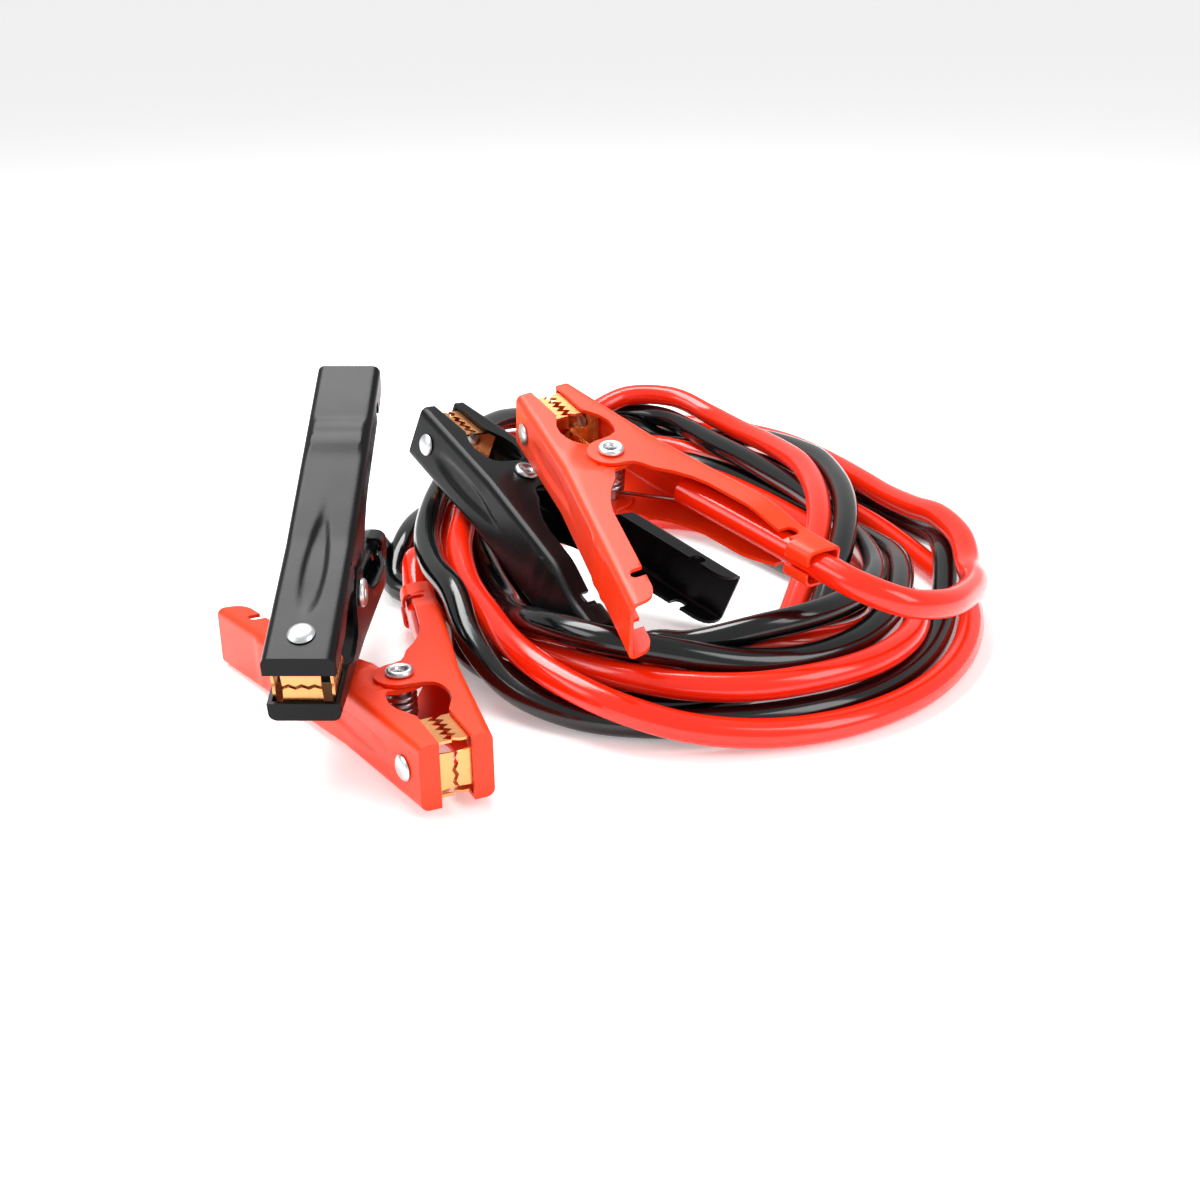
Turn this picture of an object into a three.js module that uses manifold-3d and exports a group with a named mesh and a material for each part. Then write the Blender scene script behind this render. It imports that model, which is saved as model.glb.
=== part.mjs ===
// A set of car jumper cables lying in a loose coil: one red lead and one black lead, side by side,
// with a spring clamp on each of their four ends. Millimetres, +Z up, and the origin on the floor.

import * as THREE from 'three';
import { mergeVertices } from 'three/addons/utils/BufferGeometryUtils.js';
import Module from 'manifold-3d';

const wasm = await Module();
wasm.setup();

// Clearances
const GAP = 0.3;
const THROUGH = 2;

// Pressed steel arms: a channel with its web outside
const ARM_WIDTH = 27;
const SHEET = 1.6;
const JAW_REACH = 62;
const HANDLE_REACH = 100;
const TIP_HEIGHT = 14.5;
const PIVOT_HEIGHT = 25;
const END_HEIGHT = 50;
const JAW_DEPTH = 8;
const HANDLE_DEPTH = 12;
const LOBE_RADIUS = 10.5;
const THROAT_RISE = 5.8;
const NOTCH_WIDTH = 5.5;
const NOTCH_DEPTH = 6.5;
const NOTCH_FROM_END = 17;

// Folded tabs that grip the lead at the end of one arm
const GRIP_LENGTH = 13;
const GRIP_FOLD = 8.5;

// Pivot rivet and spring
const PIN_RADIUS = 4;
const PIN_BORE_RADIUS = 2;
const PIN_HEAD_RADIUS = 5.8;
const PIN_HEAD_HEIGHT = 2.2;
const WIRE = 2;
const COIL_RADIUS = PIN_RADIUS + WIRE / 2 + 2 * GAP;
const COIL_TURNS = 4;
const COIL_PITCH = 2.7;
const LONG_LEG = 34;
const SHORT_LEG = 9;

// Copper jaws
const JAW_LENGTH = 24;
const COPPER = 1.2;
const TOOTH_PITCH = 4;
const TOOTH_DEPTH = 1.8;
const LIP_WIDTH = 20;

// Rivet that holds each jaw in its arm
const JAW_RIVET_RADIUS = 2.4;
const JAW_RIVET_HEAD_RADIUS = 5.2;
const JAW_RIVET_HEAD_HEIGHT = 1.9;
const JAW_RIVET_FROM_TIP = 12;

// Leads
const LEAD_DIAMETER = 12.3;
const LEAD_SIDES = 8;
const LEAD_STEPS = 215;

const STEEL_RED = new THREE.MeshStandardMaterial({ color: 0xe8381f, roughness: 0.42, metalness: 0 });
const STEEL_BLACK = new THREE.MeshStandardMaterial({ color: 0x2b2d2e, roughness: 0.45, metalness: 0 });
const COPPER_PLATE = new THREE.MeshStandardMaterial({ color: 0xd9985a, roughness: 0.35, metalness: 1 });
const ZINC = new THREE.MeshStandardMaterial({ color: 0xc9ccce, roughness: 0.3, metalness: 1 });
const SPRING_STEEL = new THREE.MeshStandardMaterial({ color: 0xb4b7ba, roughness: 0.32, metalness: 1 });
const PVC_RED = new THREE.MeshStandardMaterial({ color: 0xe3201a, roughness: 0.25, metalness: 0 });
const PVC_BLACK = new THREE.MeshStandardMaterial({ color: 0x1c1d1f, roughness: 0.25, metalness: 0 });

// Solids from closed three.js geometry, and back to geometry
function solid(geometry) {
  const bare = geometry.index ? geometry.toNonIndexed() : geometry.clone();
  bare.deleteAttribute('normal');
  bare.deleteAttribute('uv');
  const merged = mergeVertices(bare, 1e-4);
  return new wasm.Manifold(new wasm.Mesh({
    numProp: 3,
    vertProperties: Float32Array.from(merged.attributes.position.array),
    triVerts: Uint32Array.from(merged.index.array),
  }));
}

function geometryOf(body) {
  const mesh = body.getMesh();
  const geometry = new THREE.BufferGeometry();
  geometry.setAttribute('position', new THREE.BufferAttribute(Float32Array.from(mesh.vertProperties), 3));
  geometry.setIndex(Array.from(mesh.triVerts));
  geometry.computeVertexNormals();
  return geometry;
}

// A plate with the given outline, from height low to height high along the hinge axis
function plate(points, low, high) {
  const shape = new THREE.Shape(points.map(([x, y]) => new THREE.Vector2(x, y)));
  const geometry = new THREE.ExtrudeGeometry(shape, { depth: high - low, bevelEnabled: false, curveSegments: 1 });
  geometry.translate(0, 0, low);
  return solid(geometry);
}

function pin(radius, low, high, x = 0, y = 0, sides = 14) {
  const geometry = new THREE.CylinderGeometry(radius, radius, high - low, sides);
  geometry.rotateX(Math.PI / 2);
  geometry.translate(x, y, (low + high) / 2);
  return solid(geometry);
}

// Height of the outer face of the web above the centre line, from the jaw tip to the handle end
function webHeight(x) {
  const jawShare = Math.max(x, 0) / JAW_REACH;
  const handleShare = Math.max(-x, 0) / HANDLE_REACH;
  return PIVOT_HEIGHT + (TIP_HEIGHT - PIVOT_HEIGHT) * jawShare + (END_HEIGHT - PIVOT_HEIGHT) * handleShare;
}

function webLine(from, to, drop, steps = 1) {
  const line = [];
  for (let i = 0; i <= steps; i += 1) {
    const x = from + (to - from) * i / steps;
    line.push([x, webHeight(x) - drop]);
  }
  return line;
}

function arc(radius, startDegrees, endDegrees, steps) {
  const line = [];
  for (let i = 0; i <= steps; i += 1) {
    const angle = THREE.MathUtils.degToRad(startDegrees + (endDegrees - startDegrees) * i / steps);
    line.push([radius * Math.cos(angle), radius * Math.sin(angle)]);
  }
  return line;
}

// Inner edge of a side plate between the lobe and the jaw: the rounded throat
function throatLine() {
  const edge = TIP_HEIGHT - JAW_DEPTH;
  return [
    [LOBE_RADIUS * 1.25, edge + THROAT_RISE * 0.55],
    [LOBE_RADIUS * 1.75, edge + THROAT_RISE * 0.93],
    [LOBE_RADIUS * 2.25, edge + THROAT_RISE],
    [LOBE_RADIUS * 2.8, edge + THROAT_RISE * 0.8],
    [LOBE_RADIUS * 3.3, edge + THROAT_RISE * 0.3],
    [JAW_REACH - JAW_LENGTH, edge],
  ];
}

// Inner edge of a side plate between the handle and the lobe
function shoulderLine() {
  return [
    [-HANDLE_REACH * 0.42, webHeight(-HANDLE_REACH * 0.42) - HANDLE_DEPTH],
    [-HANDLE_REACH * 0.3, webHeight(-HANDLE_REACH * 0.3) - HANDLE_DEPTH * 1.2],
    [-HANDLE_REACH * 0.2, webHeight(-HANDLE_REACH * 0.2) - HANDLE_DEPTH * 1.7],
  ];
}

function sidePlateOutline() {
  return [
    ...webLine(JAW_REACH, 0, 0),
    ...webLine(0, -HANDLE_REACH, 0).slice(1),
    [-HANDLE_REACH, END_HEIGHT - HANDLE_DEPTH],
    ...shoulderLine(),
    ...arc(LOBE_RADIUS, 155, 385, 10),
    ...throatLine(),
    [JAW_REACH, TIP_HEIGHT - JAW_DEPTH],
  ];
}

function webOutline() {
  const outer = [...webLine(JAW_REACH, 0, 0), ...webLine(0, -HANDLE_REACH, 0).slice(1)];
  const inner = [...webLine(-HANDLE_REACH, 0, SHEET), ...webLine(0, JAW_REACH, SHEET).slice(1)];
  return [...outer, ...inner];
}

function bothSides(points, low, high) {
  return plate(points, low, high).add(plate(points, -high, -low));
}

// Keyhole notch in both side plates, near the handle end
function notch() {
  const x = -HANDLE_REACH + NOTCH_FROM_END;
  const edge = webHeight(x) - HANDLE_DEPTH;
  const half = NOTCH_WIDTH / 2;
  const points = [[x - half, edge - THROUGH], [x + half, edge - THROUGH]];
  for (let i = 0; i <= 8; i += 1) {
    const angle = Math.PI * i / 8;
    points.push([x + half * Math.cos(angle), edge + NOTCH_DEPTH - half + half * Math.sin(angle)]);
  }
  return plate(points, -ARM_WIDTH, ARM_WIDTH);
}

function endWall() {
  const x = JAW_REACH - SHEET;
  const low = TIP_HEIGHT - JAW_DEPTH;
  const points = [[x, low], [JAW_REACH, low], [JAW_REACH, TIP_HEIGHT], [x, webHeight(x)]];
  return plate(points, -ARM_WIDTH / 2, ARM_WIDTH / 2);
}

// Where the jaw rivet crosses the web, and the slope of the web there
const RIVET_X = JAW_REACH - JAW_RIVET_FROM_TIP;
const JAW_SLOPE = Math.atan2(TIP_HEIGHT - PIVOT_HEIGHT, JAW_REACH);

function acrossWeb(radius, inward, outward, sides = 12) {
  const geometry = new THREE.CylinderGeometry(radius, radius, inward + outward, sides);
  geometry.translate(0, (outward - inward) / 2, 0);
  geometry.rotateZ(JAW_SLOPE);
  geometry.translate(RIVET_X, webHeight(RIVET_X), 0);
  return solid(geometry);
}

function channel() {
  const half = ARM_WIDTH / 2;
  return plate(webOutline(), -half, half)
    .add(bothSides(sidePlateOutline(), half - SHEET, half))
    .add(endWall())
    .subtract(notch())
    .subtract(acrossWeb(JAW_RIVET_RADIUS + GAP, SHEET + THROUGH, THROUGH));
}

// Folded tabs round the lead: the side plates run on past the lead and turn in under it
function gripTabs() {
  const half = ARM_WIDTH / 2;
  const drop = 2 * SHEET + LEAD_DIAMETER + 2 * GAP;
  const upper = webLine(-HANDLE_REACH + GRIP_LENGTH, -HANDLE_REACH, HANDLE_DEPTH - SHEET);
  const lower = webLine(-HANDLE_REACH, -HANDLE_REACH + GRIP_LENGTH, drop);
  const fold = webLine(-HANDLE_REACH + GRIP_LENGTH, -HANDLE_REACH, drop - SHEET);
  return bothSides([...upper, ...lower], half - SHEET, half)
    .add(bothSides([...fold, ...lower], half - GRIP_FOLD, half));
}

function cableArm() {
  return channel()
    .add(gripTabs())
    .subtract(pin(PIN_RADIUS + GAP, -ARM_WIDTH, ARM_WIDTH));
}

// The free arm has its lobes set in, so that they turn inside those of the cable arm
function freeArm() {
  const half = ARM_WIDTH / 2;
  const earHigh = half - SHEET - GAP;
  const earLow = earHigh - SHEET;
  const room = LOBE_RADIUS + 2 * GAP;
  const ears = bothSides(earOutline(), earLow, earHigh);
  const joggle = bothSides(earOutline(), earLow, half).subtract(pin(room, -ARM_WIDTH, ARM_WIDTH, 0, 0, 20));
  const relief = pin(room, earHigh, ARM_WIDTH, 0, 0, 20).add(pin(room, -ARM_WIDTH, -earHigh, 0, 0, 20));
  return channel()
    .subtract(relief)
    .add(ears)
    .add(joggle)
    .subtract(pin(PIN_RADIUS + GAP, -ARM_WIDTH, ARM_WIDTH))
    .mirror([0, 1, 0]);
}

function earOutline() {
  const rise = LOBE_RADIUS + SHEET * 2;
  return [
    [LOBE_RADIUS * 0.9, rise],
    [-LOBE_RADIUS * 0.9, rise],
    ...arc(LOBE_RADIUS, 155, 385, 10),
  ];
}

// Toothed copper jaw: a channel that fits inside the arm, with a lip across its front
function copperJaw(side) {
  const back = JAW_REACH - JAW_LENGTH;
  const front = JAW_REACH - SHEET - GAP;
  const half = ARM_WIDTH / 2 - SHEET - GAP;
  const seat = SHEET + GAP;
  const teeth = toothLine(back, front, side);
  const flange = [...webLine(front, back, seat), ...teeth];
  const web = [...webLine(front, back, seat), ...webLine(back, front, seat + COPPER)];
  return plate(web, -half, half)
    .add(bothSides(flange, half - COPPER, half))
    .add(lip(front, side))
    .subtract(acrossWeb(JAW_RIVET_RADIUS + GAP, SHEET + COPPER + THROUGH, THROUGH));
}

function toothLine(from, to, side) {
  const count = Math.round((to - from) / TOOTH_PITCH);
  const line = [];
  for (let i = 0; i <= 2 * count; i += 1) {
    const rise = (i % 2 === 0) === (side > 0) ? TOOTH_DEPTH / 2 : 0;
    line.push([from + (to - from) * i / (2 * count), GAP / 2 + rise]);
  }
  return line;
}

function lip(front, side) {
  const low = GAP / 2 + (side > 0 ? TOOTH_DEPTH / 2 : 0);
  const points = [
    [front - COPPER, low],
    [front, low],
    [front, webHeight(front) - SHEET - GAP],
    [front - COPPER, webHeight(front - COPPER) - SHEET - GAP],
  ];
  return plate(points, -LIP_WIDTH / 2, LIP_WIDTH / 2);
}

function pivotRivet() {
  const half = ARM_WIDTH / 2 + GAP;
  const top = half + PIN_HEAD_HEIGHT;
  const profile = [
    [PIN_BORE_RADIUS, -top],
    [PIN_HEAD_RADIUS * 0.8, -top],
    [PIN_HEAD_RADIUS, -top + PIN_HEAD_HEIGHT * 0.4],
    [PIN_HEAD_RADIUS, -half],
    [PIN_RADIUS, -half],
    [PIN_RADIUS, half],
    [PIN_HEAD_RADIUS, half],
    [PIN_HEAD_RADIUS, top - PIN_HEAD_HEIGHT * 0.4],
    [PIN_HEAD_RADIUS * 0.8, top],
    [PIN_BORE_RADIUS, top],
    [PIN_BORE_RADIUS, -top],
  ].map(([r, z]) => new THREE.Vector2(r, z));
  const geometry = new THREE.LatheGeometry(profile, 14);
  geometry.rotateX(Math.PI / 2);
  return solid(geometry);
}

function jawRivet() {
  const top = JAW_RIVET_HEAD_HEIGHT + GAP;
  const tail = SHEET + GAP + COPPER + GAP;
  const profile = [
    [0, -tail - COPPER],
    [JAW_RIVET_RADIUS * 1.6, -tail - COPPER],
    [JAW_RIVET_RADIUS * 1.6, -tail],
    [JAW_RIVET_RADIUS, -tail],
    [JAW_RIVET_RADIUS, GAP],
    [JAW_RIVET_HEAD_RADIUS, GAP],
    [JAW_RIVET_HEAD_RADIUS * 0.85, top * 0.6],
    [JAW_RIVET_HEAD_RADIUS * 0.5, top * 0.92],
    [0, top],
  ].map(([r, y]) => new THREE.Vector2(r, y));
  const geometry = new THREE.LatheGeometry(profile, 12);
  geometry.rotateZ(JAW_SLOPE);
  geometry.translate(RIVET_X, webHeight(RIVET_X), 0);
  return solid(geometry);
}

function tube(points, diameter, sides, steps) {
  const curve = new THREE.CatmullRomCurve3(points.map(([x, y, z]) => new THREE.Vector3(x, y, z)), false, 'centripetal');
  const section = new THREE.Shape();
  for (let i = 0; i < sides; i += 1) {
    const angle = 2 * Math.PI * i / sides;
    const corner = [diameter / 2 * Math.cos(angle), diameter / 2 * Math.sin(angle)];
    if (i === 0) section.moveTo(...corner);
    else section.lineTo(...corner);
  }
  const geometry = new THREE.ExtrudeGeometry(section, { steps, extrudePath: curve, curveSegments: 1 });
  return solid(geometry);
}

// Torsion spring round the pivot: the long leg lies along the cable arm, the short one faces the free arm
function spring() {
  const points = [];
  const start = COIL_TURNS * COIL_PITCH / 2;
  const rise = THREE.MathUtils.degToRad(165);
  const beside = (LEAD_DIAMETER / 2 + ARM_WIDTH / 2 - SHEET) / 2;
  for (const x of [-LONG_LEG, -LONG_LEG * 0.6]) {
    points.push([x, webHeight(x) - SHEET - 2 * GAP - WIRE * 0.7, beside]);
  }
  for (let i = 0; i <= COIL_TURNS * 10; i += 1) {
    const angle = rise - i / 10 * 2 * Math.PI;
    points.push([COIL_RADIUS * Math.cos(angle), COIL_RADIUS * Math.sin(angle), start - i / 10 * COIL_PITCH]);
  }
  points.push([-COIL_RADIUS - SHORT_LEG, -COIL_RADIUS, -start - WIRE]);
  return tube(points, WIRE, 5, 52);
}

const shapes = {
  cable_arm: cableArm(),
  free_arm: freeArm(),
  cable_jaw: copperJaw(1),
  free_jaw: copperJaw(-1).mirror([0, 1, 0]),
  pivot_rivet: pivotRivet(),
  spring: spring(),
  cable_jaw_rivet: jawRivet(),
  free_jaw_rivet: jawRivet().mirror([0, 1, 0]),
};

const finishes = {
  cable_jaw: COPPER_PLATE,
  free_jaw: COPPER_PLATE,
  pivot_rivet: ZINC,
  spring: SPRING_STEEL,
  cable_jaw_rivet: ZINC,
  free_jaw_rivet: ZINC,
};

// Where each clamp lies: its pivot, the direction of its jaws, and the side of its cable arm
const clamps = [
  { name: 'front_red', enamel: STEEL_RED, pivot: [-79.5, -87.4, 16.2], jaws: [0.439, -0.899, 0.024], side: [0.899, 0.439, 0] },
  { name: 'left_black', enamel: STEEL_BLACK, pivot: [-109, -73, 58.6], jaws: [0, -1, -0.2], side: [0, 0.2, -1] },
  { name: 'rear_black', enamel: STEEL_BLACK, pivot: [-39, 49, 54.8], jaws: [-0.666, 0.667, 0.334], side: [-0.673, -0.73, 0.118] },
  { name: 'top_red', enamel: STEEL_RED, pivot: [4.5, 8, 79], jaws: [-0.501, 0.841, 0.206], side: [0.865, 0.492, 0.095] },
];

function clampGroup({ name, enamel, pivot, jaws, side }) {
  const x = new THREE.Vector3(...jaws).normalize();
  const z = new THREE.Vector3().crossVectors(x, new THREE.Vector3(...side)).normalize();
  const y = new THREE.Vector3().crossVectors(z, x);
  const group = new THREE.Group();
  group.quaternion.setFromRotationMatrix(new THREE.Matrix4().makeBasis(x, y, z));
  group.position.set(...pivot);
  for (const [part, body] of Object.entries(shapes)) {
    const mesh = new THREE.Mesh(geometryOf(body), finishes[part] ?? enamel);
    mesh.name = `${name}_${part}`;
    group.add(mesh);
  }
  return group;
}

const group = new THREE.Group();
for (const clamp of clamps) group.add(clampGroup(clamp));

// The origin is on the floor, under the middle of the four clamps
const extent = new THREE.Box3().setFromObject(group, true);
const middle = extent.getCenter(new THREE.Vector3());
group.position.set(-middle.x, -middle.y, -extent.min.z);

// Where each lead runs, from the arm of its upper clamp to the arm of its lower one. The two run side by side
// for most of four turns, then part at the left. The runs were drawn by hand over the photograph, and a
// separate spacing program then moved these points apart, so that no two runs touch.
const RED_ROUTE = [
  [36.5, -1, 76], [57, -21.5, 71], [76.5, -41, 66], [92.5, -57, 62], [105, -67, 58.5], [123, -69, 52.5],
  [142, -55.5, 46], [157, -31, 39.5], [168, -3, 33.5], [172, 25.5, 28.5], [174.5, 55, 31.5], [170, 84.5, 31.5],
  [162.5, 112.5, 26], [154, 141, 22], [144.5, 169, 21], [135, 197.5, 19.5], [124, 225, 18], [112.5, 252, 15.5],
  [98, 278, 12], [79, 300.5, 9], [53, 314.5, 7.5], [24, 316, 7.5], [-3.5, 305.5, 9], [-25, 286, 12],
  [-40, 260.5, 17.5], [-49.5, 233, 23.5], [-55.5, 205, 30.5], [-58.5, 175.5, 36.5], [-60.5, 146.5, 41],
  [-62, 116.5, 44], [-64, 86.5, 44], [-65.5, 57, 40.5], [-65.5, 27.5, 36], [-59.5, -0.5, 31], [-48, -28, 27.5],
  [-35.5, -54.5, 25.5], [-17, -77.5, 22.5], [7, -93.5, 18], [35, -99.5, 12], [64.5, -97, 8], [93, -89, 7],
  [118.5, -74.5, 7], [140, -54.5, 7], [156.5, -30, 7], [168, -2.5, 7], [174, 26.5, 7], [172, 55.5, 7],
  [164.5, 84.5, 7], [156, 112.5, 7], [145.5, 140, 7], [131.5, 166.5, 7], [115.5, 191, 7], [98, 214.5, 7],
  [78.5, 236.5, 7], [55, 253.5, 9], [27, 260.5, 11.5], [-1.5, 257, 9.5], [-25, 240.5, 7], [-41, 216, 7],
  [-53.5, 189.5, 8], [-65, 163, 12], [-75, 136, 18], [-81.5, 107.5, 22.5], [-80, 78.5, 21.5],
  [-71, 51.5, 15.5], [-58, 26, 11.5], [-46.5, -1, 7], [-31.5, -26.5, 7], [-12.5, -49.5, 7], [15.5, -60, 7],
  [44, -54.5, 7], [66.5, -35.5, 7], [81.5, -10.5, 10.5], [91.5, 16.5, 17], [101, 43.5, 25.5], [108, 71.5, 32],
  [111, 101, 35], [111.5, 130.5, 35], [109, 160, 34], [103, 189, 31], [94.5, 217.5, 28], [83.5, 244.5, 26],
  [68, 270, 27.5], [45.5, 288, 33.5], [17, 290.5, 33.5], [-7, 275.5, 26], [-24.5, 252, 21.5],
  [-37.5, 225.5, 20.5], [-48.5, 197.5, 21], [-58.5, 170, 23.5], [-66.5, 141.5, 28], [-71, 112, 31],
  [-73.5, 82.5, 33], [-73, 53, 29], [-66, 24.5, 22.5], [-55.5, -3, 17.5], [-41.5, -29.5, 15.5], [-21, -51, 19],
  [3, -68.5, 21], [30.5, -79, 20.5], [60, -80, 20], [88.5, -72.5, 20.5], [114, -57.5, 20.5],
  [132.5, -34.5, 19.5], [142.5, -7, 17], [145.5, 22, 12], [141.5, 51, 8], [134, 80, 7], [124, 108, 7],
  [112, 135, 7], [98, 161, 7], [82.5, 186.5, 7], [65, 210, 7], [42.5, 228.5, 7.5], [14, 231.5, 11.5],
  [-10.5, 217, 17], [-29.5, 194.5, 20], [-45, 169.5, 19.5], [-55.5, 142, 19.5], [-62, 113, 20.5],
  [-63, 83.5, 17.5], [-57, 55, 11.5], [-45.5, 28, 7.5], [-32.5, 1.5, 7], [-17, -24, 7], [5.5, -44.5, 7],
  [34, -48.5, 17], [63, -47, 21.5], [91, -38.5, 20], [114, -20, 15.5], [129, 5, 12.5], [131, 34, 10.5],
  [122, 62.5, 8.5], [107.5, 88, 7.5], [89.5, 111.5, 7], [68.5, 132, 7], [42, 145, 7], [13, 144, 7],
  [-14.5, 132.5, 7], [-40, 117.5, 7], [-64, 100, 7], [-83.5, 77.5, 8.5], [-89, 51, 21.5], [-86, 22.5, 14],
  [-80, -7, 14.5], [-73.5, -36, 15], [-69.5, -56, 15.5],
];

const BLACK_ROUTE = [
  [-38.5, 16.5, 49.5], [-24, -8.5, 40.5], [-10.5, -31.5, 32.5], [1.5, -51.5, 25], [9.5, -61.5, 25.5],
  [22, -60, 29.5], [37, -57, 28], [66, -53, 33.5], [92.5, -41, 35], [112.5, -19.5, 34], [124, 7.5, 31],
  [129, 36.5, 26.5], [129.5, 66, 22.5], [126, 95.5, 20.5], [119.5, 124.5, 20.5], [109.5, 152.5, 20.5],
  [97, 180, 20.5], [83.5, 206.5, 21], [69, 232.5, 21], [55, 259, 21.5], [38.5, 284, 22], [13, 297, 21],
  [-14, 286.5, 22], [-32, 264, 28], [-45, 238.5, 35.5], [-57, 212, 42], [-66.5, 183.5, 45], [-72.5, 154.5, 45],
  [-75.5, 124.5, 45], [-78.5, 95, 45.5], [-81.5, 65.5, 43], [-81.5, 36, 39], [-75.5, 7.5, 37],
  [-64, -20, 35.5], [-54.5, -46, 25], [-36.5, -66.5, 13], [-11, -80, 7.5], [18, -87, 7], [48, -85.5, 7],
  [77, -79, 7], [104, -67, 7], [126.5, -48, 7], [144, -23.5, 7], [156, 3.5, 8.5], [163.5, 31.5, 14.5],
  [169, 60, 19.5], [172, 89.5, 17.5], [168.5, 118, 11], [159, 145.5, 7.5], [145, 171.5, 7], [128.5, 196, 7],
  [111, 220, 7], [91.5, 242.5, 7], [69, 261.5, 7], [42, 271.5, 7], [12.5, 272.5, 7], [-15.5, 266, 7],
  [-38, 246.5, 7], [-53.5, 221.5, 7], [-66, 195, 8], [-78, 167.5, 10], [-87.5, 139.5, 13.5], [-94, 110.5, 19],
  [-98, 81, 19], [-100, 53.5, 8], [-76.5, 34.5, 7], [-64.5, 6.5, 7], [-57.5, -23, 7], [-38, -46.5, 7],
  [-13, -64.5, 7.5], [16, -73.5, 8], [45.5, -68, 8], [70.5, -51.5, 8], [88, -27.5, 9.5], [99.5, -0.5, 16],
  [109, 27, 24], [117.5, 55, 30.5], [123, 84.5, 34], [125, 114, 35], [124, 144, 34], [120.5, 173.5, 32],
  [113.5, 202.5, 27.5], [104, 230.5, 22.5], [90, 256, 17.5], [69.5, 276, 10.5], [41.5, 285.5, 7.5],
  [15.5, 280.5, 18], [-3.5, 258, 23], [-19.5, 232.5, 25], [-34, 206.5, 29], [-44, 179, 33], [-49.5, 149.5, 33],
  [-55, 120.5, 33], [-59, 91, 32], [-60, 62, 27], [-52.5, 34, 22], [-42.5, 6.5, 19], [-36.5, -21.5, 25],
  [-23, -48.5, 33.5], [1, -67.5, 35.5], [29, -71, 31.5], [57.5, -67.5, 25], [85.5, -58, 22], [110, -42, 23],
  [127, -18, 25], [137, 10, 25], [143, 39, 22.5], [145, 68, 17.5], [141, 97, 12], [131.5, 125, 8.5],
  [119, 152, 7], [104, 177.5, 7], [88, 202.5, 7], [69.5, 225.5, 7], [45.5, 243, 7], [17, 246.5, 7],
  [-8.5, 233, 7], [-24.5, 208, 7], [-32.5, 179.5, 8.5], [-39, 151.5, 15.5], [-46, 123.5, 21.5], [-49, 94, 20],
  [-46, 65, 15], [-36, 38, 10], [-23, 11.5, 7.5], [-8, -14, 7], [15.5, -34, 7], [45, -35.5, 14.5],
  [73.5, -30.5, 22.5], [99.5, -17.5, 24], [116.5, 6, 18.5], [116.5, 34.5, 12], [106, 62, 8.5], [90, 87, 8],
  [71.5, 110.5, 11], [51, 131, 16.5], [25, 145, 20.5], [-4, 147.5, 16], [-31.5, 138.5, 9], [-57, 123, 7],
  [-82.5, 106.5, 7], [-106.5, 88, 10], [-110, 61.5, 26.5], [-109, 35, 37], [-109, 5, 38.5], [-109, -25, 40],
  [-109, -45, 41],
];

function lead(name, route, jacket) {
  const mesh = new THREE.Mesh(geometryOf(tube(route, LEAD_DIAMETER, LEAD_SIDES, LEAD_STEPS)), jacket);
  mesh.name = name;
  return mesh;
}

group.add(lead('red_cable', RED_ROUTE, PVC_RED));
group.add(lead('black_cable', BLACK_ROUTE, PVC_BLACK));

export default group;
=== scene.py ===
import math

import bpy
from mathutils import Matrix, Vector


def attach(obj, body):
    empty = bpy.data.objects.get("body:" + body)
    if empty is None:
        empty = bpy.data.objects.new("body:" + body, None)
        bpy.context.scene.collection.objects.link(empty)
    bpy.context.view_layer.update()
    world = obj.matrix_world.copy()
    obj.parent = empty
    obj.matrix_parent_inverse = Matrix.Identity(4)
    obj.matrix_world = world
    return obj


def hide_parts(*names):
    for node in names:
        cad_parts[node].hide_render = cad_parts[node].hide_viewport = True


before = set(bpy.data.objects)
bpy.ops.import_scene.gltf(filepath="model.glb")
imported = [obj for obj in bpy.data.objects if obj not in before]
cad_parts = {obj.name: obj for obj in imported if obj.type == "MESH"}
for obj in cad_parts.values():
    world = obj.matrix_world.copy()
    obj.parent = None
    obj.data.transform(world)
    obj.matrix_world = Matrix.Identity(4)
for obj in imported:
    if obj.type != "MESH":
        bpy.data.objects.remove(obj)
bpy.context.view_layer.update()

# Camera
# It looks along +Y and 24 degrees down, as the one of the photo did, with the whole set in view.
CAMERA_PLACE = (0.03515, -0.59659, 0.29885)
CAMERA_DOWN = 24
camera_data = bpy.data.cameras.new("camera")
camera_data.lens = 45
camera_data.sensor_width = 36
camera = bpy.data.objects.new("camera", camera_data)
camera.location = CAMERA_PLACE
camera.rotation_euler = (math.radians(90 - CAMERA_DOWN), 0, 0)
bpy.context.collection.objects.link(camera)
bpy.context.scene.camera = camera
bpy.context.scene.view_settings.view_transform = "Standard"


# Finishes
# One material for each real finish: soft coating on the pressed arms, copper plate, zinc plate,
# spring wire and the two extruded jackets.
COAT_ROUGHNESS = 0.08
PATCH_SCALE = 60.0
GRAIN_DEPTH = 0.0005


def linear(hex_colour):
    channels = [int(hex_colour[i : i + 2], 16) / 255 for i in (1, 3, 5)]
    return (*(c / 12.92 if c <= 0.04045 else ((c + 0.055) / 1.055) ** 2.4 for c in channels), 1.0)


def set_inputs(tree, node, **inputs):
    for name, value in inputs.items():
        socket = node.inputs[name.replace("_", " ")]
        if isinstance(value, bpy.types.NodeSocket):
            tree.links.new(value, socket)
        else:
            socket.default_value = value


def add_node(tree, kind, **inputs):
    node = tree.nodes.new(kind)
    set_inputs(tree, node, **inputs)
    return node


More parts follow.
